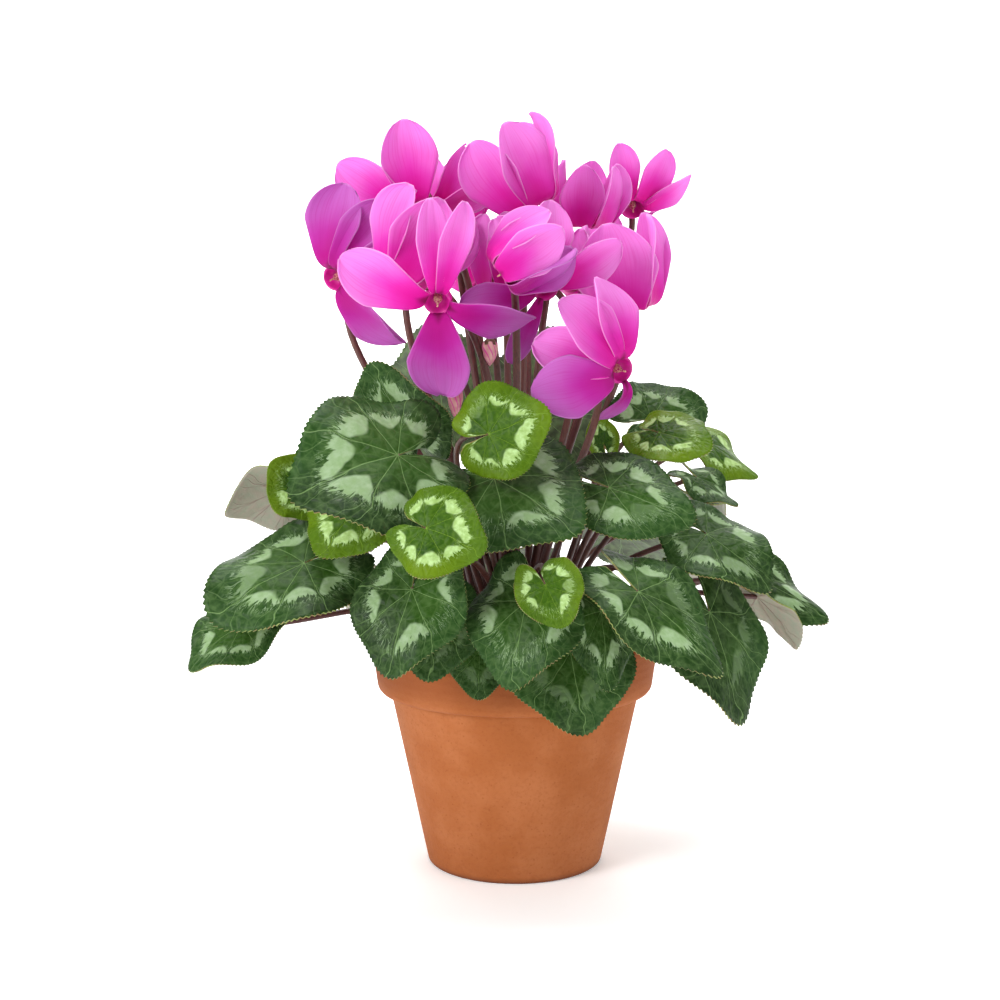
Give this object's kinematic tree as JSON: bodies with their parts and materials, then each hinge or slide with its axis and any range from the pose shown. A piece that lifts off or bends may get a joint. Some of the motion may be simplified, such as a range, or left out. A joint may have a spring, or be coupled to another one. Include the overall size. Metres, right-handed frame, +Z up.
{
  "type": "potted cyclamen",
  "caption": "Florist's cyclamen in a round terracotta pot: heart-shaped silver-marked leaves on arching stalks under upright pink blooms with swept-back petals.",
  "frame": {"origin": "centre of the pot's underside, on its axis, on the surface that it stands on", "axes": "+Z up along the pot's axis, -Y towards the plant's front, +X to the right seen from the front"},
  "size_m": [0.2773, 0.2325, 0.3356],
  "materials": {
    "terracotta": "matte unglazed terracotta",
    "potting_soil": "dark crumbly potting soil",
    "stalk": "satin brown-red stalk",
    "leaf": "satin dark green leaf with silvery markings",
    "young_leaf": "satin lime green leaf with pale markings",
    "petal": "soft satin pink petal, darker at the mouth",
    "bud": "soft pale pink bud"
  },
  "bodies": {
    "root": {"pot": "terracotta", "soil": "potting_soil", "tuber_and_stalks": "stalk", "leaf_front_1": "young_leaf", "leaf_front_2": "leaf", "leaf_front_3": "leaf", "leaf_front_4": "young_leaf", "leaf_front_5": "leaf", "leaf_front_6": "leaf", "leaf_front_7": "leaf", "leaf_front_8": "young_leaf", "leaf_front_9": "leaf", "leaf_front_10": "leaf", "leaf_front_11": "leaf", "leaf_front_12": "leaf", "leaf_front_13": "leaf", "leaf_left_1": "leaf", "leaf_left_2": "leaf", "leaf_left_3": "young_leaf", "leaf_left_4": "young_leaf", "leaf_left_5": "leaf", "leaf_left_6": "leaf", "leaf_left_7": "leaf", "leaf_right_1": "young_leaf", "leaf_right_2": "young_leaf", "leaf_right_3": "leaf", "leaf_right_4": "young_leaf", "leaf_right_5": "leaf", "leaf_right_6": "leaf", "leaf_right_7": "leaf", "leaf_right_8": "leaf", "leaf_right_9": "leaf", "leaf_back_1": "leaf", "leaf_back_2": "leaf", "leaf_back_3": "leaf", "leaf_back_4": "leaf", "leaf_back_5": "leaf", "leaf_back_6": "leaf", "leaf_back_7": "leaf", "leaf_back_8": "leaf", "leaf_back_9": "leaf", "bloom_1": "petal", "bloom_2": "petal", "bloom_3": "petal", "bloom_4": "petal", "bloom_5": "petal", "bloom_6": "petal", "bloom_7": "petal", "bloom_8": "petal", "bloom_9": "petal", "bloom_10": "petal", "bloom_11": "petal", "bloom_12": "petal", "bloom_13": "petal", "bloom_14": "petal", "bloom_15": "petal", "bud_1": "bud", "bud_2": "bud"}
  },
  "joints": []
}
